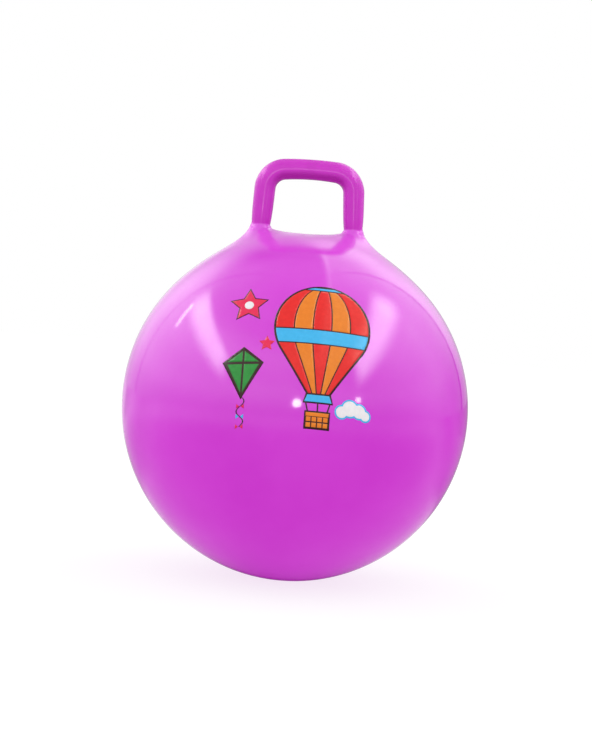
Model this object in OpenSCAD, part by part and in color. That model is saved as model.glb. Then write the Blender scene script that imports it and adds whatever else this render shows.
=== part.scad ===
// Hopper ball: a moulded vinyl ball with a loop handle, a push-in air valve and a printed picture.
// The origin is the middle of the flat patch that the ball rests on. +Z is up, and the picture faces -Y.
// All lengths are in millimetres and all angles in degrees.

/* [Ball] */
// Diameter of the inflated ball
ball_d = 450; // [360:5:650]
// Thickness of the stretched ball wall
ball_wall = 0.7; // [0.4:0.1:1.5]
// Radius of the flat patch where the ball meets the floor
patch_r = 36; // [24:1:60]

/* [Handle] */
// Width of the handle over the outside of its legs, at the top
handle_w = 142.5; // [110:0.5:180]
// Height of the handle's top above the top of the ball
handle_rise = 98.5; // [75:0.5:130]
// Diameter of the tube that the hands hold
tube_d = 27; // [20:0.5:34]
// Diameter of each leg where it meets its neck
root_d = 24.6; // [18:0.2:30]
// Radius of the handle's corners, to the middle of the tube
corner_r = 27; // [18:0.5:35]
// Angle by which each leg spreads outwards on its way down
leg_splay = 2.8; // [0:0.1:8]
// Thickness of the handle wall, which isn't stretched
handle_wall = 2.4; // [1.5:0.1:4]

/* [Necks] */
// Height of each neck above the ball, at the middle of its leg
neck_rise = 28; // [18:0.5:36]
// Distance along the ball in which a neck falls to about a third of its height
neck_fade = 20.5; // [14:0.5:28]
// Thickness of a neck's wall at the leg
neck_wall = 2.2; // [1.2:0.1:3.5]
// Width of the plain ball wall between the two necks
saddle_w = 6.5; // [3:0.5:20]

/* [Valve] */
// Angle from the top of the ball to the valve, towards the back
valve_angle = 33; // [28:1:70]
// Diameter of the valve seat's flange
flange_d = 27; // [22:0.5:40]
// Height of the flange above the ball
flange_h = 1.8; // [1.2:0.1:3]
// Diameter of the seat's nozzle, inside the ball
nozzle_d = 13; // [11:0.5:18]
// Length of the nozzle below the ball's outside
nozzle_len = 21; // [15:0.5:35]
// Diameter of the air hole through the seat
bore_d = 7.2; // [5:0.1:9]
// Diameter of the stopper's head
head_d = 16; // [12:0.5:20]
// Thickness of the stopper's head
head_h = 1.6; // [1.2:0.1:3]
// Length of the stopper's stem
stem_len = 18; // [10:0.5:30]
// Number of raised lands along the stem
land_count = 3; // [2:1:5]
// Depth of the grooves between the lands
groove_depth = 0.5; // [0.2:0.1:1]

/* [Picture] */
// Angle of the picture's middle above the ball's widest line
picture_lift = 20; // [0:1:35]
// Width and height of the whole picture
picture_size = 190; // [120:5:240]
// Diameter of the printed balloon's round top
balloon_d = 112; // [80:1:130]
// Distance from the balloon's middle down to its mouth
mouth_drop = 82; // [70:1:95]
// Width of the balloon's mouth
mouth_w = 26; // [18:1:36]
// Height of the blue skirt under the mouth
skirt_h = 8; // [5:0.5:12]
// Height of the band around the balloon
band_h = 17; // [10:0.5:24]
// Width of the basket
basket_w = 27; // [18:0.5:34]
// Height of the basket
basket_h = 17; // [10:0.5:22]
// Length of the ropes between the skirt and the basket
rope_len = 12; // [8:0.5:18]
// Distance from a star's middle to its tips
star_r = 22; // [14:0.5:28]
// Width of the kite
kite_w = 42; // [28:1:54]
// Height of the kite
kite_h = 56; // [36:1:70]
// Length of the kite's tail
tail_len = 34; // [20:1:44]
// Width of the cloud
cloud_w = 44; // [28:1:54]
// Width of the dark printed lines
line_w = 1.8; // [1:0.1:3]
// Thickness of one printed layer
ink_h = 0.15; // [0.1:0.01:0.3]

/* [Hidden] */
$fn = 180;

// How far a cutting shape runs past what it cuts
overrun = 5;
// Gap between a neck's edge and the ball wall, and between a leg and its neck
seam_gap = 0.05;
// Gap between the valve seat and the ball wall
seat_gap = 0.06;
// Gap all round the stem in the air hole
stem_gap = 0.05;
// Gap under and around the stopper's head
head_gap = 0.1;
// Gap under the lowest printed layer, and between layers
ink_gap = 0.08;

// How much thinner the handle's bar is than its corners, all round, and how far it runs into them
bar_step = 0.05;
bar_lap = 0.5;

// Ball, whose spheres are turned so that their seams lie away from the necks, the valve and the picture
ball_r = ball_d / 2;
ball_inner_r = ball_r - ball_wall;
ball_z = sqrt(pow(ball_r, 2) - pow(patch_r, 2));
seam_turn = 45;

// Handle, measured from the middle of the ball
tube_r = tube_d / 2;
root_r = root_d / 2;
bar_z = ball_r + handle_rise - tube_r;
bar_half = handle_w / 2 - tube_r - corner_r;
// Where a corner ends and its leg begins
leg_top = [bar_half + corner_r * cos(leg_splay), bar_z - corner_r + corner_r * sin(leg_splay)];
// Direction of the right leg, downwards, and how far down it the leg's line is nearest the ball's middle
leg_way = [sin(leg_splay), -cos(leg_splay)];
leg_nearest = -leg_top * leg_way;
// Length of the leg's line from its top to the ball's round surface
leg_to_ball = leg_nearest - sqrt(pow(leg_nearest, 2) - leg_top * leg_top + pow(ball_r, 2));
root_spot = leg_top + leg_to_ball * leg_way;
// The leg's straight foot covers the height of the neck, and starts inside the neck
foot_start_share = 0.25;
foot_start = neck_rise * foot_start_share;
foot_len = neck_rise - foot_start;
cone_len = leg_to_ball - neck_rise;

// Necks: each one stands on the ball's radius through the foot of its leg
neck_tilt = atan2(root_spot[0], root_spot[1]);
neck_reach = ball_r * neck_tilt * PI / 180 - saddle_w / 2;
neck_steps = 16;

// Valve
flange_r = flange_d / 2;
flange_edge = flange_h / 3;
bore_r = bore_d / 2;
head_r = head_d / 2;
stem_r = bore_r - stem_gap;
recess_r = head_r + head_gap;
recess_depth = head_h / 2;
head_z = ball_r + flange_h - recess_depth + head_gap;
dimple_r = head_r / 2;
dimple_depth = head_h / 4;
// Pry notch in the rim of the stopper's head
notch_r = head_r / 4;
// Shares of the stem's length that its tapered tip and one groove take, and of the tip's radius at its end
tip_share = 0.2;
groove_share = 0.12;
tip_end_share = 0.65;
tip_len = stem_len * tip_share;
tip_r = stem_r - groove_depth;
tip_end_r = tip_r * tip_end_share;
groove_len = stem_len * groove_share;
land_pitch = (stem_len - tip_len) / land_count;

// Picture: places are shares of the picture's size, from its middle, to the right and up
balloon_place_shares = [0.14, 0.2];
star_place_shares = [-0.33, 0.34];
kite_place_shares = [-0.34, -0.12];
cloud_place_shares = [0.36, -0.33];

// Balloon
balloon_r = balloon_d / 2;
mouth_half = mouth_w / 2;
// Direction from the balloon's middle to where its straight side leaves the round top
side_angle = acos(balloon_r / norm([mouth_half, mouth_drop])) - atan2(mouth_drop, mouth_half);
side_way = [cos(side_angle), sin(side_angle)];
side_top = balloon_r * side_way;
gore_count = 5;
gore_steps = 10;
// Width of the dark seams inside a shape, as a share of the dark lines round it
seam_share = 0.75;
seam_w = line_w * seam_share;
// Heights of the band's and the crown's lines above the balloon's middle, as shares of its radius
band_top_share = -0.08;
crown_share = 0.9;
band_top = balloon_r * band_top_share;
band_bottom = band_top - band_h;
crown_v = balloon_r * crown_share;
skirt_flare_share = 1.25;
skirt_half = mouth_half * skirt_flare_share;
skirt_top = -mouth_drop - line_w;
skirt_bottom = skirt_top - skirt_h;
// Places of the outer ropes, as shares of the skirt's half width and of the basket's
rope_top_share = 0.9;
rope_foot_share = 0.84;
basket_top = skirt_bottom - rope_len;
basket_mid = basket_top - basket_h / 2;
basket_rim = basket_h / 4;
weave_rows = 2;
weave_blocks = 4;

// Stars
star_tips = 5;
star_waist_share = 0.5;
star_dot_share = 0.25;
small_star_share = 0.45;
small_star_r = star_r * small_star_share;
// The small star lies beside the balloon, this far from its dark line and in this direction from its middle
small_star_gap = 1.5;
small_star_turn = 201;
small_star_way = [cos(small_star_turn), sin(small_star_turn)];
small_star_offset = (balloon_r + line_w + small_star_gap + small_star_r) * small_star_way;
star_line_share = 1.5;
star_line = line_w * star_line_share;

// Kite: its cross is measured from the middle of its height, and its corners go round from the top
kite_cross_share = 0.22;
kite_panel_share = 0.84;
kite_border = 2 * line_w;
kite_cross = kite_h * kite_cross_share;
kite_middle = [0, kite_cross];
kite_corners = [[0, kite_h / 2], [kite_w / 2, kite_cross], [0, -kite_h / 2], [-kite_w / 2, kite_cross]];
tail_turns = 1.5;
tail_wave = tail_len / 8;
tail_steps = 16;
bow_count = 3;
bow_w = line_w * 5;
// Half a bow's knot and half its height, as shares of its width
bow_knot_share = 0.1;
bow_height_share = 0.3;

// Puffs of the cloud: each one's place along the width, its height and its radius, as shares of the width
cloud_puff_shares = [[-0.3, 0.02, 0.17], [-0.08, 0.13, 0.22], [0.17, 0.09, 0.19], [0.34, 0, 0.14]];

// A shape's corners drawn in towards their middle
function drawn_in(points, share) =
    let (middle = (points[0] + points[1] + points[2]) / 3)
    [for (p = points) middle + (p - middle) * share];

// Height of a neck's outside above the ball, at distance s along the ball from the neck's middle
function neck_height(s) =
    let (edge = exp(-neck_reach / neck_fade))
    neck_rise * (exp(-s / neck_fade) - edge) / (1 - edge);

// Thickness of a neck's wall there
function neck_thickness(s) = ball_wall + (neck_wall - ball_wall) * (1 - s / neck_reach);

// A point at distance s along the ball and radius r from the ball's middle, as [across, up]
function around_ball(s, r) = r * [sin(s / ball_r * 180 / PI), cos(s / ball_r * 180 / PI)];

// Half the printed balloon's width at height v above its middle
function balloon_half(v) =
    v > side_top[1]
    ? sqrt(max(0, pow(balloon_r, 2) - pow(v, 2)))
    : side_top[0] + (mouth_half - side_top[0]) * (side_top[1] - v) / (side_top[1] + mouth_drop);

// Points of a star, from its top tip round, with a waist between each two tips
function star_points(r) = [
    for (i = [0 : 2 * star_tips - 1])
        let (reach = i % 2 == 0 ? r : r * star_waist_share, turn = 180 * i / star_tips)
        reach * [sin(turn), cos(turn)]
];

// A point on the kite's wavy tail at the share t of its length
function tail_point(t) = [tail_wave * sin(360 * tail_turns * t), -kite_h / 2 - t * tail_len];

// Middle of the ball
module at_ball() {
    translate([0, 0, ball_z]) children();
}

module ball_sphere(r) {
    at_ball() rotate([0, 0, seam_turn]) sphere(r = r);
}

// A cube as wide as the ball, whose top is at height z
module all_below(z) {
    translate([-ball_r, -ball_r, z - ball_d]) cube([ball_d, ball_d, ball_d]);
}

// Middle of the ball, with +Z pointing out through the valve
module at_valve() {
    at_ball() rotate([-valve_angle, 0, 0]) children();
}

// Middle of the right corner's bend, with +Z pointing up along the right leg
module at_corner() {
    at_ball() translate([bar_half, 0, bar_z - corner_r]) rotate([0, -leg_splay, 0]) children();
}

// Top of the right leg, with +Z pointing up along the leg
module at_leg() {
    at_corner() translate([corner_r, 0, 0]) children();
}

// A cone from the middle of the ball, as wide as a neck and its seam, along the right neck
module neck_cone() {
    cone_angle = (neck_reach + seam_gap) / ball_r * 180 / PI;
    cone_h = ball_r + overrun;
    at_ball() rotate([0, neck_tilt, 0]) cylinder(r1 = 0, r2 = cone_h * tan(cone_angle), h = cone_h);
}

// The ball wall: a hollow sphere with a flat patch, open under the necks and at the valve
module ball_skin() {
    color([0.85, 0.3, 0.86])
    difference() {
        ball_sphere(ball_r);
        difference() {
            ball_sphere(ball_inner_r);
            all_below(ball_wall);
        }
        all_below(0);
        neck_cone();
        mirror([1, 0, 0]) neck_cone();
        at_valve() cylinder(r = nozzle_d / 2 + seat_gap, h = ball_r + overrun);
    }
}

// A neck: the flared, thicker wall from which a leg of the handle rises
module neck() {
    outside = [
        for (i = [0 : neck_steps])
            let (s = neck_reach * i / neck_steps)
            around_ball(s, ball_r + neck_height(s))
    ];
    inside = [
        for (i = [neck_steps : -1 : 0])
            let (s = neck_reach * i / neck_steps)
            around_ball(s, ball_r + neck_height(s) - neck_thickness(s))
    ];
    difference() {
        at_ball() rotate([0, neck_tilt, 0]) rotate_extrude() polygon(concat(outside, inside));
        at_leg() translate([0, 0, -leg_to_ball - neck_rise])
            cylinder(r = root_r + seam_gap, h = 2 * neck_rise + cone_len);
    }
}

module right_neck() {
    color([0.87, 0.33, 0.87]) neck();
}

module left_neck() {
    color([0.87, 0.33, 0.87]) mirror([1, 0, 0]) neck();
}

// One corner of the handle and its leg, as a solid rod that is thinner than the tube by inset all round
module handle_leg(inset, foot_more) {
    at_corner() rotate([90, 0, 0]) rotate_extrude(angle = 90 - leg_splay)
        translate([corner_r, 0]) circle(r = tube_r - inset);
    at_leg() translate([0, 0, -cone_len]) cylinder(r1 = root_r - inset, r2 = tube_r - inset, h = cone_len);
    at_leg() translate([0, 0, -cone_len - foot_len - foot_more])
        cylinder(r = root_r - inset, h = foot_len + foot_more);
}

module handle_loop(inset, foot_more) {
    at_ball() translate([0, 0, bar_z]) rotate([0, 90, 0])
        cylinder(r = tube_r - bar_step - inset, h = 2 * (bar_half + bar_lap), center = true);
    handle_leg(inset, foot_more);
    mirror([1, 0, 0]) handle_leg(inset, foot_more);
}

// The handle: a hollow loop whose legs open into the ball
module handle() {
    color([0.78, 0.26, 0.76])
    difference() {
        handle_loop(0, 0);
        handle_loop(handle_wall, overrun);
    }
}

// The valve seat: a flange on the ball, a recess for the stopper's head and a nozzle inside the ball
module valve_seat() {
    color([0.8, 0.25, 0.8])
    difference() {
        at_valve() union() {
            difference() {
                union() {
                    translate([0, 0, ball_r - flange_h])
                        cylinder(r = flange_r, h = 2 * flange_h - flange_edge);
                    translate([0, 0, ball_r + flange_h - flange_edge])
                        cylinder(r1 = flange_r, r2 = flange_r - flange_edge, h = flange_edge);
                }
                sphere(r = ball_r + seat_gap);
            }
            translate([0, 0, ball_r - nozzle_len]) cylinder(r = nozzle_d / 2, h = nozzle_len + flange_h / 2);
        }
        at_valve() translate([0, 0, ball_r - nozzle_len - overrun])
            cylinder(r = bore_r, h = nozzle_len + flange_h + 2 * overrun);
        at_valve() translate([0, 0, ball_r + flange_h - recess_depth]) cylinder(r = recess_r, h = overrun);
    }
}

// The stopper: a flat head with a pry notch, and a stem whose lands fill the air hole
module valve_plug() {
    land_points = [
        for (i = [0 : land_count - 1])
            let (top = head_z - i * land_pitch, bottom = top - land_pitch)
            each [[stem_r, top], [stem_r, bottom + groove_len], [tip_r, bottom + groove_len], [tip_r, bottom]]
    ];
    stem_end = head_z - stem_len;
    color("white")
    at_valve() difference() {
        union() {
            translate([0, 0, head_z]) cylinder(r = head_r, h = head_h);
            rotate_extrude()
                polygon(concat([[0, head_z]], land_points, [[tip_end_r, stem_end], [0, stem_end]]));
        }
        translate([0, 0, head_z + head_h - dimple_depth]) cylinder(r = dimple_r, h = overrun);
        translate([0, head_r, head_z - overrun / 2]) cylinder(r = notch_r, h = overrun + head_h);
    }
}

// Lays a flat drawing on the front of the ball as a thin printed layer
module printed(layer) {
    low_r = ball_r + ink_gap + layer * (ink_h + ink_gap);
    intersection() {
        at_ball() rotate([90 - picture_lift, 0, 0]) linear_extrude(height = ball_r + overrun) children();
        difference() {
            ball_sphere(low_r + ink_h);
            ball_sphere(low_r);
        }
    }
}

module placed(shares) {
    translate(picture_size * shares) children();
}

// A panel of the balloon between two heights, from share k1 to share k2 of its half width
module gore(k1, k2, low, high) {
    heights = [for (i = [0 : gore_steps]) low + (high - low) * i / gore_steps];
    left_side = [for (v = heights) [k1 * balloon_half(v) + seam_w / 2, v]];
    right_side = [
        for (i = [gore_steps : -1 : 0]) [k2 * balloon_half(heights[i]) - seam_w / 2, heights[i]]
    ];
    polygon(concat(left_side, right_side));
}

// Every second panel of the balloon, above and below its band
module gores(first) {
    for (i = [first : 2 : gore_count - 1]) {
        k1 = 2 * i / gore_count - 1;
        k2 = 2 * (i + 1) / gore_count - 1;
        gore(k1, k2, band_top + seam_w, crown_v);
        gore(k1, k2, -mouth_drop, band_bottom - seam_w);
    }
}

// A shape with straight sides, even on both sides of the middle, from one height to another
module even_sided(half1, v1, half2, v2) {
    polygon([[half1, v1], [half2, v2], [-half2, v2], [-half1, v1]]);
}

// The dark ground under the balloon, its skirt, its ropes and its basket
module balloon_ground() {
    side = side_top + line_w * side_way;
    corner = [mouth_half, -mouth_drop] + line_w * side_way;
    circle(r = balloon_r + line_w);
    even_sided(side[0], side[1], corner[0], corner[1]);
    even_sided(mouth_half + line_w, -mouth_drop, skirt_half + line_w, skirt_bottom - line_w);
    for (k = [-1, 0, 1]) rope(k * skirt_half * rope_top_share, k * basket_w / 2 * rope_foot_share);
    translate([0, basket_mid]) square([basket_w + 2 * line_w, basket_h + 2 * line_w], center = true);
}

module rope(top_u, foot_u) {
    polygon([
        [top_u - line_w / 2, skirt_bottom], [top_u + line_w / 2, skirt_bottom],
        [foot_u + line_w / 2, basket_top], [foot_u - line_w / 2, basket_top]
    ]);
}

// The basket's rim and, below it, rows of woven blocks
module basket_front() {
    row_h = (basket_h - basket_rim) / weave_rows;
    block_w = basket_w / weave_blocks;
    translate([0, basket_top - basket_rim / 2]) square([basket_w, basket_rim], center = true);
    for (row = [0 : weave_rows - 1], i = [0 : weave_blocks - 1])
        translate([(i + 0.5) * block_w - basket_w / 2, basket_top - basket_rim - (row + 0.5) * row_h])
            square([block_w - seam_w, row_h - seam_w], center = true);
}

module kite_ground() {
    places = [for (i = [0 : tail_steps]) tail_point(i / tail_steps)];
    half_line = [seam_w / 2, 0];
    polygon([for (p = kite_corners) p + (p - kite_middle) * kite_border / norm(p - kite_middle)]);
    polygon(concat(
        [for (p = places) p - half_line],
        [for (i = [tail_steps : -1 : 0]) places[i] + half_line]
    ));
}

module kite_panel(i) {
    polygon(drawn_in([kite_middle, kite_corners[i], kite_corners[(i + 1) % 4]], kite_panel_share));
}

// Two small triangles tied to the kite's tail, tip to tip
module bow(i) {
    wing_h = bow_w * bow_height_share;
    translate(tail_point((i + 1) / bow_count))
        for (wing = [-bow_w, bow_w])
            polygon([[wing * bow_knot_share, 0], [wing / 2, wing_h], [wing / 2, -wing_h]]);
}

module cloud(more) {
    for (p = cloud_puff_shares) translate(cloud_w * [p[0], p[1]]) circle(r = cloud_w * p[2] + more);
}

// The dark base layer of the picture
module print_outline() {
    color([0.23, 0.05, 0.09]) printed(0) {
        placed(balloon_place_shares) balloon_ground();
        placed(kite_place_shares) kite_ground();
        placed(star_place_shares) polygon(star_points(star_r + star_line));
    }
}

module print_red() {
    color([0.88, 0.16, 0.17]) printed(1) placed(balloon_place_shares) gores(0);
}

module print_orange() {
    color([0.88, 0.5, 0.18]) printed(1) placed(balloon_place_shares) {
        gores(1);
        basket_front();
    }
}

module print_blue() {
    color([0.26, 0.69, 0.89]) {
        printed(1) placed(balloon_place_shares) {
            gore(-1, 1, band_bottom, band_top);
            gore(-1, 1, crown_v + seam_w, balloon_r - seam_w);
            even_sided(mouth_half, skirt_top, skirt_half, skirt_bottom);
        }
        printed(1) placed(kite_place_shares) bow(1);
        printed(0) placed(cloud_place_shares) cloud(line_w / 2);
    }
}

module print_green() {
    color([0.18, 0.55, 0.23]) printed(1) placed(kite_place_shares) {
        for (i = [0 : 3]) kite_panel(i);
    }
}

module print_crimson() {
    color([0.87, 0.15, 0.34]) {
        printed(1) placed(star_place_shares) polygon(star_points(star_r));
        printed(1) placed(balloon_place_shares) translate(small_star_offset)
            polygon(star_points(small_star_r));
        printed(1) placed(kite_place_shares) {
            bow(0);
            bow(2);
        }
    }
}

module print_white() {
    color("white") {
        printed(1) placed(cloud_place_shares) cloud(-line_w / 2);
        printed(2) placed(star_place_shares) circle(r = star_r * star_dot_share);
    }
}

ball_skin();
left_neck();
right_neck();
handle();
valve_seat();
valve_plug();
print_outline();
print_red();
print_orange();
print_blue();
print_green();
print_crimson();
print_white();
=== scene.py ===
import math

import bmesh
import bpy
import numpy as np
from mathutils import Matrix, Vector
from mathutils.geometry import delaunay_2d_cdt


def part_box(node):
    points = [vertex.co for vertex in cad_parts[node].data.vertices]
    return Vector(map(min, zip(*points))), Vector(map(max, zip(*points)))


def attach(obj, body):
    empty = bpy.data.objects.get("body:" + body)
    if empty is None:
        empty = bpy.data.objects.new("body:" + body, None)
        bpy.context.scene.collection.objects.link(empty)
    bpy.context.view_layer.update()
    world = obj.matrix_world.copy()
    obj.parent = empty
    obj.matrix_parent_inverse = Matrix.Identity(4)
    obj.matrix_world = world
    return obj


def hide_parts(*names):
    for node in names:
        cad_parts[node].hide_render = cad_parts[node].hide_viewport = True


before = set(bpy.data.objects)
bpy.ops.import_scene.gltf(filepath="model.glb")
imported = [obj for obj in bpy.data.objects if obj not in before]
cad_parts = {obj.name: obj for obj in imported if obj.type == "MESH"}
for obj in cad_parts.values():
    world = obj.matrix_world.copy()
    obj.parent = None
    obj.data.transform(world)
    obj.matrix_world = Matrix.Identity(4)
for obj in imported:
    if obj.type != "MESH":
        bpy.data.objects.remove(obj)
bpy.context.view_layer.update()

MM = 0.001

# Ball: the origin of the frame is under its middle, at the floor
BALL_R = 225 * MM
PATCH_R = 36 * MM
BALL_WALL = 0.7 * MM
BALL_Z = math.sqrt(BALL_R**2 - PATCH_R**2)
BALL_MIDDLE = Vector((0, 0, BALL_Z))
# Depth over which the round wall turns into the flat patch
PATCH_SOFTNESS = 1.2 * MM

# Faint line that the two halves of the mould leave round the ball and the handle
MOULD_LINE_H = 0.14 * MM
MOULD_LINE_W = 0.8 * MM
# It fades out near the flat patch, where the way from the middle leads down this steeply (1 is straight down)
MOULD_LINE_END = (0.96, 0.98)

# Necks: a steep rise close to the leg and a wide, low one around it
STEEP_RISE = 24 * MM
STEEP_FADE = 15 * MM
WIDE_RISE = 4.3 * MM
WIDE_FADE = 45 * MM
NECK_END = 112 * MM

# The ball's mesh is gridded like a blown-up cube, each of whose sides reaches this far from its middle
HALF_SIDE = math.radians(45)
# Steps of that grid, in millimetres along the wall: the plain one, and where each finer stretch ends and
# its step. The finer ones lie between the necks, over the necks and along the mould's line.
WALL_STEP = 2.8
BETWEEN_NECKS = (36, 2.6)
ALONG_NECKS = (86, 1.5)
NEAR_LINE = (2.4, 0.4)
ACROSS_NECKS = (20, 1.5)

# Handle, measured from the middle of the ball
TUBE_R = 13.5 * MM
ROOT_R = 12.3 * MM
LEG_R = 13.65 * MM
BAR_R = 13.1 * MM
BAR_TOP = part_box("handle")[1].z - BALL_Z
BAR_Z = BAR_TOP - TUBE_R
CORNER_R = 27 * MM
HANDLE_HALF = 71.25 * MM
LEG_SPLAY = math.radians(2.8)
# Slope of the bar where it meets the corners, because it is slightly arched
BAR_SLOPE = math.radians(5)
# Where the tube swells from the bar's radius to the legs', in half lengths of the bar from its middle
SWELLING = (0.2, 1.6)
# Share of a leg, from its top, over which the corner's radius turns into the leg's own
LEG_BLEND = 0.1
# Height above the collar over which a leg narrows to its root
LEG_TAPER = 13 * MM
# Collar where a leg meets its neck: places out from the leg's side and up from the neck's surface
COLLAR = [(out * MM, up * MM) for out, up in [
    (0, 6), (0, 4.6), (0.06, 3.7), (0.25, 3.05), (0.6, 2.7), (1.0, 2.5), (1.35, 2.2), (1.6, 1.75),
    (1.85, 1.2), (2.2, 0.75), (2.75, 0.42), (3.5, 0.2), (4.5, 0.06), (5.6, -0.08),
    (4.5, -1.2), (2, -2), (-4, -3),
]]
# The way from the handle down to the ball's outside is shorter than this, and is found by halving it
LONGEST_WAY = 140 * MM
HALVINGS = 40

# Grid of the handle's mesh
HANDLE_SIDES = 96
BAR_STEPS = 18
CORNER_STEPS = 40
LEG_STEPS = 40
RING_TURN = 2 * math.pi * np.arange(HANDLE_SIDES) / HANDLE_SIDES

# Valve: where it sits, its nozzle, the ring of faces round its hole, and its pieces' softened edges
VALVE_TURN = math.radians(33)
VALVE_WAY = Vector((0, math.sin(VALVE_TURN), math.cos(VALVE_TURN)))
NOZZLE_R = 6.5 * MM
SEAT_GAP = 0.06 * MM
HOLE_RING = 2.4 * MM
EDGE_W = 0.12 * MM
EDGE_STEPS = 3
EDGE_ANGLE = math.radians(35)

# Printed picture: the lowest ink film starts this far above the wall, and each further one lies on the last
PICTURE_LIFT = math.radians(20)
PICTURE_SIZE = 190
INK_START = 0.03 * MM
INK_FILM = 0.05 * MM
# A film is a little thinner than the step to the next one, so that they never touch
FILM_SHARE = 0.8


def unit(v):
    return v / np.linalg.norm(v, axis=-1, keepdims=True)


def smooth_step(x, low, high):
    t = np.clip((x - low) / (high - low), 0, 1)
    return t * t * (3 - 2 * t)


def smooth_min(a, b, softness):
    """The smaller of two values, rounded over where they cross."""
    share = np.clip(0.5 + 0.5 * (b - a) / softness, 0, 1)
    return b + (a - b) * share - softness * share * (1 - share)


def leg_line():
    """A point on the right leg's middle line at its top, and the line's way down."""
    way = np.array([math.sin(LEG_SPLAY), 0, -math.cos(LEG_SPLAY)])
    corner = np.array([HANDLE_HALF - TUBE_R - CORNER_R, 0, BAR_Z - CORNER_R])
    top = corner + CORNER_R * np.array([math.cos(LEG_SPLAY), 0, math.sin(LEG_SPLAY)])
    return top, way


def root_place():
    """Where the right leg's middle line meets the round ball."""
    top, way = leg_line()
    along = -top @ way
    reach = along - math.sqrt(along**2 - top @ top + BALL_R**2)
    return top + reach * way


NECK_WAY = unit(root_place())


def neck_height(s):
    """Height of a neck above the ball at distance s along the ball from the neck's middle."""
    rise = STEEP_RISE * np.exp(-s / STEEP_FADE) + WIDE_RISE * np.exp(-s / WIDE_FADE)
    return rise * (1 - smooth_step(s, NECK_END / 2, NECK_END))


def skin_radius(way):
    """Distance from the middle of the ball to its outside, in each of the given directions."""
    rises = []
    for side in (-1, 1):
        neck = NECK_WAY * (side, 1, 1)
        s = BALL_R * np.arccos(np.clip(way @ neck, -1, 1))
        rises.append(neck_height(s))
    # About the higher of the two rises, and smooth where they are alike
    rise = (rises[0] ** 4 + rises[1] ** 4) ** 0.25
    # Only a way that leads steeply down can meet the flat patch
    patch_r = BALL_Z / np.maximum(-way[..., 2], 0.5)
    return smooth_min(BALL_R + rise, patch_r, PATCH_SOFTNESS)


def mould_line(way, radius):
    """Height of the mould's line, which runs round in the plane of the handle."""
    off = way[..., 1] * radius / MOULD_LINE_W
    return MOULD_LINE_H * np.exp(-off * off) * (1 - smooth_step(-way[..., 2], *MOULD_LINE_END))


def new_mesh(name, points, faces):
    mesh = bpy.data.meshes.new(name)
    mesh.from_pydata([tuple(p) for p in points], [], [tuple(f) for f in faces])
    mesh.validate()
    mesh.update()
    mesh.shade_smooth()
    piece = bpy.data.objects.new(name, mesh)
    bpy.context.scene.collection.objects.link(piece)
    return piece


def open_mesh(piece):
    bm = bmesh.new()
    bm.from_mesh(piece.data)
    return bm


def close_mesh(bm, piece):
    """Turns every face outwards and puts the mesh back on its piece."""
    bmesh.ops.recalc_face_normals(bm, faces=bm.faces)
    bm.to_mesh(piece.data)
    bm.free()
    piece.data.shade_smooth()


def thicken(piece, thickness):
    """Adds a wall's thickness on the inside."""
    solid = piece.modifiers.new("Thickness", "SOLIDIFY")
    solid.thickness = thickness
    solid.offset = -1


def lines(*stretches):
    """Angles of the grid's lines on both sides of 0. Each stretch is how far from 0 it ends, and its step."""
    places = [0.0]
    for end, step in stretches:
        start = places[-1]
        count = math.ceil((end - start) / step)
        places += [start + (end - start) * (i + 1) / count for i in range(count)]
    angles = [HALF_SIDE * p / places[-1] for p in places]
    return np.array([-a for a in reversed(angles[1:])] + angles)


def cube_ball():
    """Directions and square faces of the ball's grid, which is finer round the handle."""
    rest = (HALF_SIDE * BALL_R / MM, WALL_STEP)
    grid = [lines(BETWEEN_NECKS, ALONG_NECKS, rest), lines(NEAR_LINE, ACROSS_NECKS, rest), lines(rest)]
    points, faces, start = [], [], 0
    for axis in range(3):
        i, j = (axis + 1) % 3, (axis + 2) % 3
        for side in (-1, 1):
            a, b = np.meshgrid(np.tan(grid[i]), np.tan(grid[j]), indexing="ij")
            square = np.empty(a.shape + (3,))
            square[..., axis] = side
            square[..., i] = a
            square[..., j] = b
            number = start + np.arange(a.size).reshape(a.shape)
            quads = np.stack([number[:-1, :-1], number[1:, :-1], number[1:, 1:], number[:-1, 1:]], -1)
            quads = quads.reshape(-1, 4)
            faces.append(quads if side > 0 else quads[:, ::-1])
            points.append(unit(square).reshape(-1, 3))
            start += a.size
    # The six squares share the points along their edges
    points = np.round(np.concatenate(points), 9)
    points, place = np.unique(points, axis=0, return_inverse=True)
    return unit(points), place.reshape(-1)[np.concatenate(faces)]


def valve_ring(radius, count):
    """A ring of points on the ball round the valve's axis, from the middle of the ball."""
    across = Vector((1, 0, 0))
    back = VALVE_WAY.cross(across)
    down = math.sqrt(BALL_R**2 - radius**2)
    turns = [2 * math.pi * i / count for i in range(count)]
    return [VALVE_WAY * down + radius * (math.cos(t) * across + math.sin(t) * back) for t in turns]


def near_valve(place):
    off = place - BALL_MIDDLE
    reach = NOZZLE_R + SEAT_GAP + HOLE_RING
    return off.cross(VALVE_WAY).length < reach and off.dot(VALVE_WAY) > 0


def open_valve_hole(ball):
    """Cuts the round hole for the valve's nozzle into the wall, with a ring of faces round it."""
    bm = open_mesh(ball)
    bmesh.ops.delete(bm, geom=[v for v in bm.verts if near_valve(v.co)], context="VERTS")
    rim = [e for e in bm.edges if e.is_boundary]
    ring = [bm.verts.new(BALL_MIDDLE + p) for p in valve_ring(NOZZLE_R + SEAT_GAP, len(rim))]
    ring_edges = [bm.edges.new((ring[i - 1], ring[i])) for i in range(len(ring))]
    bmesh.ops.bridge_loops(bm, edges=rim + ring_edges)
    close_mesh(bm, ball)


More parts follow.
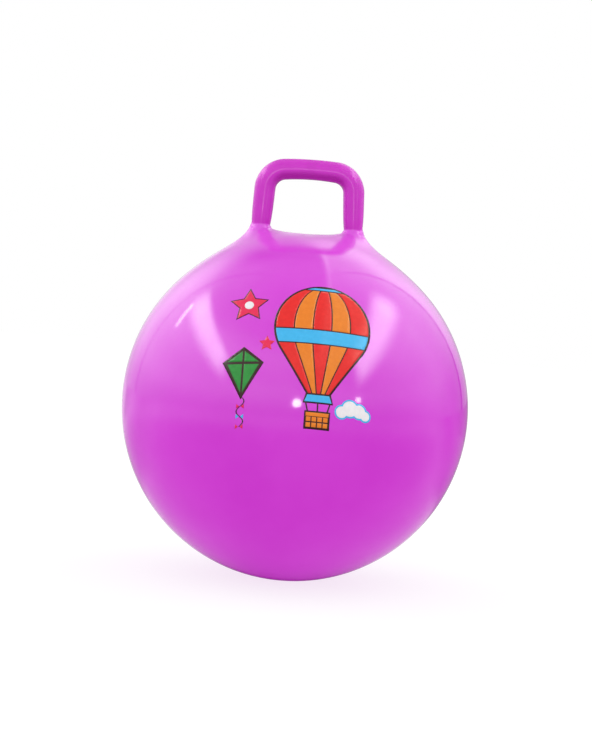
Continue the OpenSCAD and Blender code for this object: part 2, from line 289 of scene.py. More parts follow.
def make_ball():
    """The blown-up wall of the ball with the two necks, the flat patch and the mould's line."""
    ways, faces = cube_ball()
    radius = skin_radius(ways)
    radius = radius + mould_line(ways, radius)
    ball = new_mesh("vinyl_ball", ways * radius[:, None] + np.array(BALL_MIDDLE), faces)
    open_valve_hole(ball)
    thicken(ball, BALL_WALL)
    return ball


def on_skin(base, way):
    """How far from each base point, along way, the outside of the ball lies."""
    near, far = np.zeros(len(base)), np.full(len(base), LONGEST_WAY)
    for _ in range(HALVINGS):
        half = (near + far) / 2
        place = base + half[:, None] * way
        distance = np.linalg.norm(place, axis=1)
        outside = distance > skin_radius(place / distance[:, None])
        near, far = np.where(outside, half, near), np.where(outside, far, half)
    return near


def ring_ways(heading):
    """Directions from the handle's middle line to the points of a ring, where the line slopes by heading."""
    outwards = np.array([math.sin(heading), 0, math.cos(heading)])
    return np.cos(RING_TURN)[:, None] * outwards + np.sin(RING_TURN)[:, None] * np.array([0.0, 1.0, 0.0])


def tube_radius(radius):
    """The handle's radius round a ring, with the mould's line on both sides."""
    off = np.abs(np.sin(RING_TURN)) * ROOT_R / MOULD_LINE_W
    return radius + MOULD_LINE_H * np.exp(-off * off)


def swelling(along):
    """The tube's radius where it lies this far along, in half lengths of the bar from its middle."""
    return BAR_R + (LEG_R - BAR_R) * smooth_step(along, *SWELLING)


def half_bar():
    """Half the length of the arched bar, so that the corner leads from its end onto the leg's line."""
    top, _ = leg_line()
    arch = math.tan(BAR_SLOPE) / 2
    corner_x = CORNER_R * (math.cos(LEG_SPLAY) - math.sin(BAR_SLOPE))
    corner_z = CORNER_R * (math.cos(BAR_SLOPE) - math.sin(LEG_SPLAY))
    past = (top[0] - corner_x) * math.cos(LEG_SPLAY) + (top[2] + corner_z - BAR_Z) * math.sin(LEG_SPLAY)
    return past / (math.cos(LEG_SPLAY) - arch * math.sin(LEG_SPLAY))


def bar_and_corner():
    """Middle line from the bar's middle to the right corner's end: each place, its heading and its radius."""
    half = half_bar()
    arch = math.tan(BAR_SLOPE) / 2
    path = []
    for i in range(BAR_STEPS):
        share = i / BAR_STEPS
        x = half * share
        place = np.array([x, 0, BAR_Z - arch * x * share])
        path.append((place, math.atan(2 * arch * share), swelling(share)))
    bend = math.pi / 2 - LEG_SPLAY - BAR_SLOPE
    for i in range(CORNER_STEPS + 1):
        heading = BAR_SLOPE + bend * i / CORNER_STEPS
        x = half + CORNER_R * (math.sin(heading) - math.sin(BAR_SLOPE))
        z = BAR_Z - arch * half - CORNER_R * (math.cos(BAR_SLOPE) - math.cos(heading))
        along = (half + CORNER_R * (heading - BAR_SLOPE)) / half
        path.append((np.array([x, 0, z]), heading, swelling(along)))
    return path


def leg_rings(start, heading, start_radius):
    """Rings from the corner's end down the right leg to its collar, and on into the neck."""
    _, way = leg_line()
    ring = ring_ways(heading)
    to_skin = on_skin(start + ROOT_R * ring, way)
    lip_h = COLLAR[0][1]
    rings = []
    for i in range(1, LEG_STEPS + 1):
        share = i / LEG_STEPS
        down = share * (to_skin - lip_h)
        to_lip = to_skin - down - lip_h
        radius = LEG_R - (LEG_R - ROOT_R) * np.exp(-np.maximum(to_lip, 0) / LEG_TAPER)
        radius = start_radius + (radius - start_radius) * smooth_step(share, 0, LEG_BLEND)
        rings.append(start + down[:, None] * way + tube_radius(radius)[:, None] * ring)
    for out, up in COLLAR[1:]:
        foot = start + (ROOT_R + out) * ring
        rings.append(foot + (on_skin(foot, way) - up)[:, None] * way)
    return rings


def make_handle():
    """The loop handle, as one tube from inside the left neck to inside the right one."""
    path = bar_and_corner()
    right = [place + tube_radius(radius)[:, None] * ring_ways(heading) for place, heading, radius in path]
    right = np.array(right + leg_rings(*path[-1]))
    left = right[:0:-1] * (-1, 1, 1)
    rings = np.concatenate([left, right])
    number = np.arange(len(rings) * HANDLE_SIDES).reshape(len(rings), HANDLE_SIDES)
    after = np.roll(number, -1, axis=1)
    faces = list(np.stack([number[:-1], after[:-1], after[1:], number[1:]], -1).reshape(-1, 4))
    faces += [number[0][::-1], number[-1]]
    handle = new_mesh("loop_handle", rings.reshape(-1, 3) + np.array(BALL_MIDDLE), faces)
    close_mesh(open_mesh(handle), handle)
    return handle


# Printed picture, drawn in millimetres on a plane: u to the right, v up, from the picture's middle
LINE_W = 1.8
SEAM_W = 0.75 * LINE_W
BALLOON_R = 56
MOUTH_DROP = 82
MOUTH_HALF = 13
SKIRT_H = 8
SKIRT_HALF = 1.25 * MOUTH_HALF
BAND_H = 17
BASKET_W = 27
BASKET_H = 17
BASKET_RIM = BASKET_H / 4
BASKET_ROWS = 2
BASKET_COLUMNS = 4
ROPE_LEN = 12
ROPE_TOP = SKIRT_HALF * 0.9
ROPE_FOOT = BASKET_W / 2 * 0.84
GORES = 5
STAR_R = 22
SMALL_STAR_R = 0.45 * STAR_R
SMALL_STAR_GAP = 1.5
KITE_W = 42
KITE_H = 56
TAIL_LEN = 34
TAIL_STEPS = 36
BOW_W = 5 * LINE_W
CLOUD_W = 44
# Puffs of the cloud: place across and up, and radius, in widths of the cloud
PUFFS = [(-0.3, 0.02, 0.17), (-0.08, 0.13, 0.22), (0.17, 0.09, 0.19), (0.34, 0, 0.14)]

BALLOON_AT = (0.14 * PICTURE_SIZE, 0.2 * PICTURE_SIZE)
STAR_AT = (-0.33 * PICTURE_SIZE, 0.34 * PICTURE_SIZE)
KITE_AT = (-0.34 * PICTURE_SIZE, -0.12 * PICTURE_SIZE)
CLOUD_AT = (0.36 * PICTURE_SIZE, -0.33 * PICTURE_SIZE)
SMALL_STAR_TURN = math.radians(201)
SMALL_STAR_FAR = BALLOON_R + LINE_W + SMALL_STAR_GAP + SMALL_STAR_R
SMALL_STAR_AT = (
    BALLOON_AT[0] + SMALL_STAR_FAR * math.cos(SMALL_STAR_TURN),
    BALLOON_AT[1] + SMALL_STAR_FAR * math.sin(SMALL_STAR_TURN),
)

# The balloon's straight sides touch its round top in this direction from its middle
SIDE_TURN = math.acos(BALLOON_R / math.hypot(MOUTH_HALF, MOUTH_DROP)) - math.atan2(MOUTH_DROP, MOUTH_HALF)
SIDE_WAY = (math.cos(SIDE_TURN), math.sin(SIDE_TURN))
SIDE_TOP = (BALLOON_R * SIDE_WAY[0], BALLOON_R * SIDE_WAY[1])
BAND_TOP = -0.08 * BALLOON_R
BAND_BOTTOM = BAND_TOP - BAND_H
CROWN_V = 0.9 * BALLOON_R
SKIRT_TOP = -MOUTH_DROP - LINE_W
SKIRT_BOTTOM = SKIRT_TOP - SKIRT_H
BASKET_TOP = SKIRT_BOTTOM - ROPE_LEN
KITE_CROSS = 0.22 * KITE_H
KITE_MIDDLE = (0, KITE_CROSS)
KITE_CORNERS = [(0, KITE_H / 2), (KITE_W / 2, KITE_CROSS), (0, -KITE_H / 2), (-KITE_W / 2, KITE_CROSS)]

# Mesh of the ink films, in millimetres: longest edge of an outline, step between the points inside it,
# and how close together two points count as one
OUTLINE_STEP = 1.5
INSIDE_STEP = 3.0
SAME_POINT = 1e-4


def at(place, outlines):
    """The outlines, moved to a place."""
    return [[(u + place[0], v + place[1]) for u, v in outline] for outline in outlines]


def circle(radius, place=(0, 0), count=96):
    turns = [2 * math.pi * i / count for i in range(count)]
    return [(place[0] + radius * math.cos(t), place[1] + radius * math.sin(t)) for t in turns]


def block(width, height, place):
    u, v = place
    return [(u - width / 2, v - height / 2), (u + width / 2, v - height / 2),
            (u + width / 2, v + height / 2), (u - width / 2, v + height / 2)]


def even_sided(half1, v1, half2, v2):
    """Four-sided outline from one half width and height to another."""
    return [(half1, v1), (half2, v2), (-half2, v2), (-half1, v1)]


def balloon_half(v):
    """Half the printed balloon's width at height v above its middle."""
    if v > SIDE_TOP[1]:
        return math.sqrt(max(0, BALLOON_R**2 - v**2))
    down = (SIDE_TOP[1] - v) / (SIDE_TOP[1] + MOUTH_DROP)
    return SIDE_TOP[0] + (MOUTH_HALF - SIDE_TOP[0]) * down


def gore(k1, k2, low, high, steps=24):
    """A stretch of the balloon between two heights. Its sides are shares of the balloon's half width."""
    heights = [low + (high - low) * i / steps for i in range(steps + 1)]
    left_side = [(k1 * balloon_half(v) + SEAM_W / 2, v) for v in heights]
    right_side = [(k2 * balloon_half(v) - SEAM_W / 2, v) for v in reversed(heights)]
    return left_side + right_side


def gores(first):
    """Every second gore of the balloon, above and below its band."""
    outlines = []
    for i in range(first, GORES, 2):
        k1, k2 = 2 * i / GORES - 1, 2 * (i + 1) / GORES - 1
        outlines.append(gore(k1, k2, BAND_TOP + SEAM_W, CROWN_V))
        outlines.append(gore(k1, k2, -MOUTH_DROP, BAND_BOTTOM - SEAM_W))
    return outlines


def rope(side):
    top, foot = side * ROPE_TOP, side * ROPE_FOOT
    return [(foot - LINE_W / 2, BASKET_TOP), (foot + LINE_W / 2, BASKET_TOP),
            (top + LINE_W / 2, SKIRT_BOTTOM), (top - LINE_W / 2, SKIRT_BOTTOM)]


def balloon_ground():
    """Dark ground under the balloon, its skirt, its ropes and its basket."""
    side = [SIDE_TOP[k] + LINE_W * SIDE_WAY[k] for k in (0, 1)]
    corner = (MOUTH_HALF + LINE_W * SIDE_WAY[0], -MOUTH_DROP + LINE_W * SIDE_WAY[1])
    return [
        circle(BALLOON_R + LINE_W, count=160),
        even_sided(*side, *corner),
        even_sided(MOUTH_HALF + LINE_W, -MOUTH_DROP, SKIRT_HALF + LINE_W, SKIRT_BOTTOM - LINE_W),
        block(BASKET_W + 2 * LINE_W, BASKET_H + 2 * LINE_W, (0, BASKET_TOP - BASKET_H / 2)),
        rope(-1), rope(0), rope(1),
    ]


def basket_front():
    """The basket's rim and its woven blocks."""
    row_h, block_w = (BASKET_H - BASKET_RIM) / BASKET_ROWS, BASKET_W / BASKET_COLUMNS
    outlines = [block(BASKET_W, BASKET_RIM, (0, BASKET_TOP - BASKET_RIM / 2))]
    for row in range(BASKET_ROWS):
        for i in range(BASKET_COLUMNS):
            place = ((i + 0.5) * block_w - BASKET_W / 2, BASKET_TOP - BASKET_RIM - (row + 0.5) * row_h)
            outlines.append(block(block_w - SEAM_W, row_h - SEAM_W, place))
    return outlines


def star(radius):
    outline = []
    for i in range(10):
        reach = radius if i % 2 == 0 else radius / 2
        outline.append((reach * math.sin(math.pi * i / 5), reach * math.cos(math.pi * i / 5)))
    return outline


def tail_point(t):
    """A point of the kite's wavy tail, at share t of its length."""
    return (TAIL_LEN / 8 * math.sin(3 * math.pi * t), -KITE_H / 2 - t * TAIL_LEN)


def kite_ground():
    """Dark ground under the kite, and the line of its tail."""
    border = []
    for corner in KITE_CORNERS:
        way = Vector(corner) - Vector(KITE_MIDDLE)
        border.append(tuple(Vector(corner) + way.normalized() * 2 * LINE_W))
    places = [tail_point(i / TAIL_STEPS) for i in range(TAIL_STEPS + 1)]
    half = SEAM_W / 2
    tail = [(u - half, v) for u, v in places] + [(u + half, v) for u, v in reversed(places)]
    return [border, tail]


def kite_panel(i, share=0.84):
    corners = [Vector(KITE_MIDDLE), Vector(KITE_CORNERS[i]), Vector(KITE_CORNERS[(i + 1) % 4])]
    middle = sum(corners, Vector((0, 0))) / 3
    return [tuple(middle + (c - middle) * share) for c in corners]


def bow(i):
    """One of the tail's three bows, as two triangles whose points nearly meet."""
    u, v = tail_point((i + 1) / 3)
    return [
        [(u + w * 0.1, v), (u + w / 2, v + BOW_W * 0.3), (u + w / 2, v - BOW_W * 0.3)]
        for w in (-BOW_W, BOW_W)
    ]


def cloud(more):
    """Round puffs, each wider all round by more."""
    return [circle(CLOUD_W * r + more, (CLOUD_W * u, CLOUD_W * v)) for u, v, r in PUFFS]


# Ink films by colour: the node that each replaces, its material slot, and its outlines by layer
FILMS = {
    "ink_film_dark": ("print_outline", "ink_dark", {
        0: at(BALLOON_AT, balloon_ground()) + at(KITE_AT, kite_ground())
        + at(STAR_AT, [star(STAR_R + 1.5 * LINE_W)]),
    }),
    "ink_film_red": ("print_red", "ink_red", {1: at(BALLOON_AT, gores(0))}),
    "ink_film_orange": ("print_orange", "ink_orange", {1: at(BALLOON_AT, gores(1) + basket_front())}),
    "ink_film_blue": ("print_blue", "ink_blue", {
        0: at(CLOUD_AT, cloud(LINE_W / 2)),
        1: at(BALLOON_AT, [
            gore(-1, 1, BAND_BOTTOM, BAND_TOP),
            gore(-1, 1, CROWN_V + SEAM_W, BALLOON_R - SEAM_W),
            even_sided(MOUTH_HALF, SKIRT_TOP, SKIRT_HALF, SKIRT_BOTTOM),
        ]) + at(KITE_AT, bow(1)),
    }),
    "ink_film_green": ("print_green", "ink_green", {1: at(KITE_AT, [kite_panel(i) for i in range(4)])}),
    "ink_film_crimson": ("print_crimson", "ink_crimson", {
        1: at(STAR_AT, [star(STAR_R)]) + at(SMALL_STAR_AT, [star(SMALL_STAR_R)])
        + at(KITE_AT, bow(0) + bow(2)),
    }),
    "ink_film_white": ("print_white", "ink_white", {
        1: at(CLOUD_AT, cloud(-LINE_W / 2)),
        2: at(STAR_AT, [circle(STAR_R / 4)]),
    }),
}


def on_ball(u, v, height):
    """A point of the flat drawing, laid on the front of the ball at a height above its wall."""
    out = math.sqrt((BALL_R + height) ** 2 - (u * MM) ** 2 - (v * MM) ** 2)
    turn = Matrix.Rotation(math.pi / 2 - PICTURE_LIFT, 3, "X")
    return BALL_MIDDLE + turn @ Vector((u * MM, v * MM, out))


def anticlockwise(outline):
    after = outline[1:] + outline[:1]
    area = sum(a[0] * b[1] - b[0] * a[1] for a, b in zip(outline, after))
    return outline if area > 0 else outline[::-1]


def with_short_edges(outline):
    """The same outline with its edges cut short, so that they can follow the ball."""
    points = []
    for a, b in zip(outline, outline[1:] + outline[:1]):
        count = max(1, math.ceil(math.dist(a, b) / OUTLINE_STEP))
        points += [(a[0] + (b[0] - a[0]) * i / count, a[1] + (b[1] - a[1]) * i / count) for i in range(count)]
    return points


def points_between(points):
    """A grid of points in even triangles over the box that some points fill."""
    low = [min(p[k] for p in points) for k in (0, 1)]
    high = [max(p[k] for p in points) for k in (0, 1)]
    row_step = INSIDE_STEP * math.sin(math.pi / 3)
    places = []
    for i in range(1, int((high[0] - low[0]) / INSIDE_STEP) + 1):
        for j in range(1, int((high[1] - low[1]) / row_step) + 1):
            shift = INSIDE_STEP / 2 * (j % 2)
            places.append((low[0] + i * INSIDE_STEP - shift, low[1] + j * row_step))
    return places


def flat_mesh(outlines):
    """Triangles that fill the union of some outlines, small enough to follow the ball."""
    points, faces = [], []
    for outline in outlines:
        outline = with_short_edges(anticlockwise(outline))
        faces.append(list(range(len(points), len(points) + len(outline))))
        points += outline
    points += points_between(points)
    flat = [Vector(p) for p in points]
    corners, _, triangles, _, _, owners = delaunay_2d_cdt(flat, [], faces, 1, SAME_POINT)
    # A triangle that no outline owns lies in a gap between outlines
    return corners, [triangle for triangle, owner in zip(triangles, owners) if owner]


def make_film(name, layers):
    """One colour of ink, as thin films that follow the wall."""
    points, faces = [], []
    for layer, outlines in layers.items():
        height = INK_START + (layer + 1) * INK_FILM
        flat_points, flat_faces = flat_mesh(outlines)
        used = sorted({i for f in flat_faces for i in f})
        number = {old: len(points) + new for new, old in enumerate(used)}
        points += [on_ball(flat_points[i][0], flat_points[i][1], height) for i in used]
        faces += [[number[i] for i in f] for f in flat_faces]
    film = new_mesh(name, points, faces)
    thicken(film, FILM_SHARE * INK_FILM)
    return film


class Nodes:
    """A material's or a world's node tree. A value is a constant or another node's output."""

    def __init__(self, tree):
        self.tree = tree
        tree.nodes.clear()

    def put(self, value, socket):
        """Gives an input its value."""
        if isinstance(value, bpy.types.NodeSocket):
            self.tree.links.new(value, socket)
        else:
            socket.default_value = value

    def add(self, kind, **settings):
        """A new node. A setting is one of its properties, or one of its inputs with _ for each space."""
        node = self.tree.nodes.new(kind)
        for key, value in settings.items():
            if hasattr(node, key):
                setattr(node, key, value)
            else:
                self.put(value, node.inputs[key.replace("_", " ")])
        return node

    def coordinates(self, kind):
        return self.add("ShaderNodeTexCoord").outputs[kind]

    def parts(self, vector):
        return self.add("ShaderNodeSeparateXYZ", Vector=vector).outputs

    def math(self, operation, *values):
        node = self.add("ShaderNodeMath", operation=operation)
        for value, socket in zip(values, node.inputs):
            self.put(value, socket)
        return node.outputs[0]

    def times(self, first, *others):
        for other in others:
            first = self.math("MULTIPLY", first, other)
        return first

    def rest(self, share):
        """What a share leaves of 1."""
        return self.math("SUBTRACT", 1, share)

    def vector(self, operation, *values):
        node = self.add("ShaderNodeVectorMath", operation=operation)
        for value, socket in zip(values, node.inputs):
            self.put(value, socket)
        return node.outputs["Value" if operation in ("DISTANCE", "LENGTH") else "Vector"]

    def spread(self, value, low, high, to_low=0.0, to_high=1.0, kind="SMOOTHSTEP"):
        """A soft run from to_low, where the value is low or less, to to_high, where it is high or more."""
        node = self.add("ShaderNodeMapRange", interpolation_type=kind, Value=value,
                        From_Min=low, From_Max=high, To_Min=to_low, To_Max=to_high)
        return node.outputs["Result"]

    def mix(self, share, a, b):
        """A colour between a and b."""
        node = self.add("ShaderNodeMix", data_type="RGBA")
        for value, slot in ((share, 0), (a, 6), (b, 7)):
            self.put(value, node.inputs[slot])
        return node.outputs[2]

    def between(self, share, a, b):
        """A number between a and b."""
        node = self.add("ShaderNodeMix", data_type="FLOAT")
        for value, slot in ((share, 0), (a, 2), (b, 3)):
            self.put(value, node.inputs[slot])
        return node.outputs[0]

    def noise(self, place, scale, detail, roughness):
        node = self.add("ShaderNodeTexNoise", Vector=place, Scale=scale, Detail=detail, Roughness=roughness)
        return node.outputs["Fac"]

    def bumps(self, height, distance, strength):
        node = self.add("ShaderNodeBump", Height=height, Distance=distance, Strength=strength)
        return node.outputs["Normal"]

    def finish(self, kind, shader):
        self.add(kind, Surface=shader.outputs[0])


def linear(red, green, blue):
    """A colour written in the 0 to 255 numbers of a screen, as the shader wants it."""
    parts = [c / 255 for c in (red, green, blue)]
    parts = [c / 12.92 if c <= 0.04045 else ((c + 0.055) / 1.055) ** 2.4 for c in parts]
    return (*parts, 1.0)


def new_material(name):
    material = bpy.data.materials.new(name)
    material.use_nodes = True
    return material, Nodes(material.node_tree)


def finish_material(nodes, colour, roughness, normal, **constants):
    shader = nodes.add("ShaderNodeBsdfPrincipled", Base_Color=colour, Roughness=roughness, Normal=normal,
                       IOR=1.5, **constants)
    nodes.finish("ShaderNodeOutputMaterial", shader)


# Vinyl of the ball and the handle
BALL_COLOUR = linear(199, 28, 201)
BALL_PALE = linear(203, 38, 205)
# Paler colour of the necks and the crown between them: partly the vinyl's own, partly painted light that
# brightens the top of the ball
NECK_COLOUR_AND_LIGHT = linear(210, 76, 211)
HANDLE_COLOUR = linear(194, 30, 187)
HANDLE_DEEP = linear(189, 26, 182)
# Painted shade: the sides of the handle that face down are painted darker, as the shade beneath the bar
HANDLE_UNDER_SHADE = linear(165, 38, 155)
# The neck colour, partly the thicker vinyl's own and partly painted light, starts this far from the ball's
# middle, and on the crown between the necks at this height
NECK_EDGE = (226 * MM, 234 * MM)
CROWN_EDGE = (BALL_Z + 190 * MM, BALL_Z + 213 * MM)
# Height over which the handle's deep colour gives way to the neck's
HANDLE_EDGE = (BALL_Z + 234.5 * MM, BALL_Z + 237 * MM)
# How far light of each colour travels inside the wall
LIGHT_REACH = (6 * MM, 2 * MM, 6 * MM)

# Noises of the materials: scale, detail and roughness
BALL_CLOUDS = (9, 3, 0.55)
GLOSS_CLOUDS = (40, 3, 0.5)
SATIN_CLOUDS = (60, 3, 0.5)
HANDLE_STREAKS = (55, 4, 0.6)
VINYL_GRAIN = (800, 3, 0.6)
INK_MOTTLE = (160, 5, 0.65)
INK_CLOUDS = (90, 3, 0.5)
INK_GRAIN = (900, 3, 0.6)
MOULDED_MOTTLE = (240, 4, 0.6)
MOULDED_GRAIN = (1400, 4, 0.6)
# Height of the grain on vinyl and ink, and on the moulded pieces
GRAIN_H = 0.02 * MM
MOULDED_GRAIN_H = 0.03 * MM
# Least and most roughness of each finish
GLOSSY = (0.07, 0.13)
SATIN = (0.2, 0.27)
INK_FINISH = (0.1, 0.18)


def vinyl_colour(nodes, place, on_neck, on_handle):
    """Ball, neck and handle colours, each slightly uneven, with painted shade on the handle's underside."""
    clouds = nodes.spread(nodes.noise(place, *BALL_CLOUDS), 0.35, 0.7)
    streaks = nodes.spread(nodes.noise(place, *HANDLE_STREAKS), 0.35, 0.7)
    ball = nodes.mix(clouds, BALL_COLOUR, BALL_PALE)
    grip = nodes.mix(streaks, HANDLE_COLOUR, HANDLE_DEEP)
    # Painted shade: the handle is painted darker where its surface faces down
    facing_up = nodes.parts(nodes.coordinates("Normal"))["Z"]
    grip = nodes.mix(nodes.spread(facing_up, -0.65, -0.1, 1, 0), grip, HANDLE_UNDER_SHADE)
    return nodes.mix(on_handle, nodes.mix(on_neck, ball, NECK_COLOUR_AND_LIGHT), grip)


def vinyl(name, light_inside, shine):
    """Vinyl: glossy on the ball, paler and satin at the necks, deeper and grainier at the handle. The necks'
    paler colour is partly painted light.
    """
    material, nodes = new_material(name)
    place = nodes.coordinates("Object")
    height = nodes.parts(place)["Z"]
    far = nodes.vector("DISTANCE", place, tuple(BALL_MIDDLE))
    # Mask of the paler neck colour, partly painted light, over the necks and the crown
    on_neck = nodes.math("MAXIMUM", nodes.spread(height, *CROWN_EDGE), nodes.spread(far, *NECK_EDGE))
    on_handle = nodes.spread(height, *HANDLE_EDGE)
    gloss = nodes.spread(nodes.noise(place, *GLOSS_CLOUDS), 0.3, 0.75, *GLOSSY)
    satin = nodes.spread(nodes.noise(place, *SATIN_CLOUDS), 0.3, 0.75, *SATIN)
    grain = nodes.times(nodes.noise(place, *VINYL_GRAIN), nodes.spread(on_handle, 0, 1, 0.15, 0.2))
    finish_material(nodes, vinyl_colour(nodes, place, on_neck, on_handle),
                    nodes.between(on_neck, gloss, satin), nodes.bumps(grain, GRAIN_H, 0.3),
                    Specular_IOR_Level=shine, Subsurface_Weight=light_inside,
                    Subsurface_Radius=LIGHT_REACH, Subsurface_Scale=1.0)
    return material


def ink(name, colour, darker):
    """Screen-printed ink under the same gloss as the wall, slightly uneven in thickness."""
    material, nodes = new_material(name)
    place = nodes.coordinates("Object")
    body = nodes.mix(nodes.spread(nodes.noise(place, *INK_MOTTLE), 0.3, 0.75), darker, colour)
    roughness = nodes.spread(nodes.noise(place, *INK_CLOUDS), 0.3, 0.75, *INK_FINISH)
    normal = nodes.bumps(nodes.noise(place, *INK_GRAIN), GRAIN_H, 0.35)
    finish_material(nodes, body, roughness, normal, Specular_IOR_Level=0.2)
    return material


def moulded(name, colour, darker, rough):
    """Satin moulded plastic of the valve's pieces, with a fine grain and uneven colour."""
    material, nodes = new_material(name)
    place = nodes.coordinates("Object")
    grain = nodes.noise(place, *MOULDED_GRAIN)
    body = nodes.mix(nodes.spread(nodes.noise(place, *MOULDED_MOTTLE), 0.3, 0.8), darker, colour)
    roughness = nodes.spread(grain, 0.3, 0.7, *rough)
    finish_material(nodes, body, roughness, nodes.bumps(grain, MOULDED_GRAIN_H, 0.5))
    return material


# Colour and darker colour of each ink
INKS = {
    "ink_dark": (linear(52, 12, 22), linear(42, 8, 16)),
    "ink_red": (linear(224, 34, 34), linear(214, 28, 30)),
    "ink_orange": (linear(226, 126, 34), linear(218, 118, 30)),
    "ink_blue": (linear(66, 176, 228), linear(60, 168, 220)),
    "ink_green": (linear(42, 138, 56), linear(36, 124, 48)),
    "ink_crimson": (linear(222, 36, 84), linear(212, 30, 76)),
    "ink_white": (linear(230, 226, 229), linear(222, 217, 221)),
}
# Material of each of the valve's pieces: its name, colour, darker colour, and least and most roughness
VALVE_PIECES = {
    "valve_seat": ("seat_vinyl_moulded", linear(198, 42, 194), linear(186, 34, 180), (0.22, 0.32)),
    "valve_plug": ("stopper_plastic_moulded", linear(224, 224, 219), linear(212, 212, 206), (0.3, 0.4)),
}


def dress(piece, material):
    piece.data.materials.clear()
    piece.data.materials.append(material)


def soften_edges(piece):
    edge = piece.modifiers.new("Edge", "BEVEL")
    edge.width = EDGE_W
    edge.segments = EDGE_STEPS
    edge.limit_method = "ANGLE"
    edge.angle_limit = EDGE_ANGLE


def make_pieces():
    ball = make_ball()
    dress(ball, vinyl("ball_vinyl_film", light_inside=0.08, shine=0.5))
    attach(ball, "ball")
    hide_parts("ball_skin", "left_neck", "right_neck")

    handle = make_handle()
    dress(handle, vinyl("handle_vinyl_wall", light_inside=0.04, shine=0.33))
    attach(handle, "ball")
    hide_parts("handle")

    for name, (node, slot, layers) in FILMS.items():
        film = make_film(name, layers)
        dress(film, ink(slot + "_film", *INKS[slot]))
        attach(film, "ball")
        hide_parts(node)

    for node, settings in VALVE_PIECES.items():
        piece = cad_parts[node]
        material = moulded(*settings)
        for slot in piece.material_slots:
            slot.material = material
        soften_edges(piece)


# Camera: its sensor's height and the nearest it sees, where it looks from, and where the photograph shows
# the middle of the ball and how large
PHOTO_W, PHOTO_H = 592, 740
SENSOR = 36.0
NEAREST = 0.05
VIEW_FAR = 2.2
VIEW_UP = math.radians(4)
VIEW_ROLL = math.radians(3.85)
BALL_AT_PX = (294.8, 407.6)
BALL_R_PX = 173.1


def make_camera():
    camera = bpy.data.objects.new("camera", bpy.data.cameras.new("camera"))
    bpy.context.scene.collection.objects.link(camera)
    focus_px = BALL_R_PX / math.tan(math.asin(BALL_R / VIEW_FAR))
    camera.data.sensor_width = SENSOR
    camera.data.lens = focus_px * SENSOR / PHOTO_H
    camera.data.clip_start = NEAREST
    to_camera = Vector((0, -math.cos(VIEW_UP), math.sin(VIEW_UP)))
    straight = to_camera.to_track_quat("Z", "Y")
    off = Vector((BALL_AT_PX[0] - PHOTO_W / 2, PHOTO_H / 2 - BALL_AT_PX[1], -focus_px)).normalized()
    lean = Vector((0, 0, -1)).rotation_difference(off)
    roll = Matrix.Rotation(-VIEW_ROLL, 3, "Z").to_quaternion()
    camera.rotation_mode = "QUATERNION"
    camera.rotation_quaternion = straight @ (lean @ roll).inverted()
    camera.location = BALL_MIDDLE + VIEW_FAR * to_camera
    bpy.context.scene.camera = camera


# Small studio lamps: a long one at the left and three round ones, each with its place from the middle of
# the ball, its width and its brightness
LEFT_EDGE_AT = (-1.5, 0.5, 1.06)
LEFT_EDGE_WAY = (0, 0.11, 0.34)
LEFT_EDGE_SIZE = (0.36, 0.09)
LEFT_EDGE_LIGHT = 6.0
SPOTS = {
    "front_spot": ((0.04, -2.2, 0.26), 0.19, 20.0),
    "side_spot": ((1.82, -2.2, 0.49), 0.16, 16.0),
    "small_spot": ((1.78, -2.55, 0.24), 0.08, 16.0),
}


def panel(name, middle, long_way, size, light, shape="RECTANGLE"):
    """A flat studio lamp that only shines in the gloss: its long side runs along long_way."""
    data = bpy.data.lights.new(name, "AREA")
    data.shape = shape
    data.size, data.size_y = size
    data.energy = light * size[0] * size[1] * math.pi
    lamp = bpy.data.objects.new(name, data)
    bpy.context.scene.collection.objects.link(lamp)
    back = Vector(middle).normalized()
    side = (Vector(long_way) - Vector(long_way).dot(back) * back).normalized()
    lamp.matrix_world = Matrix.Translation(BALL_MIDDLE + Vector(middle)) @ Matrix(
        (side, back.cross(side), back)).transposed().to_4x4()
    lamp.visible_camera = False
    lamp.visible_diffuse = False


def make_lamps():
    panel("left_edge", LEFT_EDGE_AT, LEFT_EDGE_WAY, LEFT_EDGE_SIZE, LEFT_EDGE_LIGHT)
    for name, (middle, width, light) in SPOTS.items():
        panel(name, middle, (1, 0, 0), (width, width), light, "DISK")


# Floor: half its side, and its drop below the object, so that the two never share a surface
FLOOR_HALF = 8
FLOOR_DROP = 0.3 * MM
# The paper's own light and the glow that the camera sees in it add up to white
PAPER = 0.24
GLOW = 1 - PAPER


def painted_floor_glow(nodes):
    """Painted glow of the floor that the gloss mirrors, by the place from under the ball's middle, with
    painted shadows behind and under the ball.
    """
    place = nodes.coordinates("Object")
    far = nodes.vector("LENGTH", place)
    x, y, _ = nodes.parts(place)
    behind = nodes.math("DIVIDE", y, nodes.math("MAXIMUM", far, 0.01))
    aside = nodes.math("DIVIDE", x, nodes.math("MAXIMUM", far, 0.01))
    light = nodes.times(nodes.spread(far, 0.5, 2.2), nodes.spread(aside, -0.5, 0.5, 0.8, 0.5))
    light = nodes.math("ADD", light, 0.46)
    # Painted shadow: behind the ball the floor's glow is darker both near and far, though less so far away to
    # the left
    near_painted_shadow = nodes.times(nodes.spread(aside, -0.5, 0.5, 0.5, 0.9), nodes.spread(far, 0.35, 0.5),
                           nodes.spread(behind, 0.1, 0.5))
    horizon = nodes.times(nodes.spread(aside, -0.62, -0.42), nodes.spread(aside, -0.1, 0.1, 1, 0),
                          nodes.spread(far, 1.0, 2.2, 0, 0.6))
    far_painted_shadow = nodes.times(nodes.spread(far, 0.8, 2.0), nodes.spread(behind, 0.1, 0.75),
                          nodes.spread(aside, -0.8, -0.4, 0.5, 1), nodes.rest(horizon))
    light = nodes.times(light, nodes.rest(nodes.math("MAXIMUM", near_painted_shadow, far_painted_shadow)))
    # Painted contact shadow: the glow fades out right under the ball, where no light reaches the floor
    return nodes.times(light, nodes.spread(far, 0.03, 0.17))


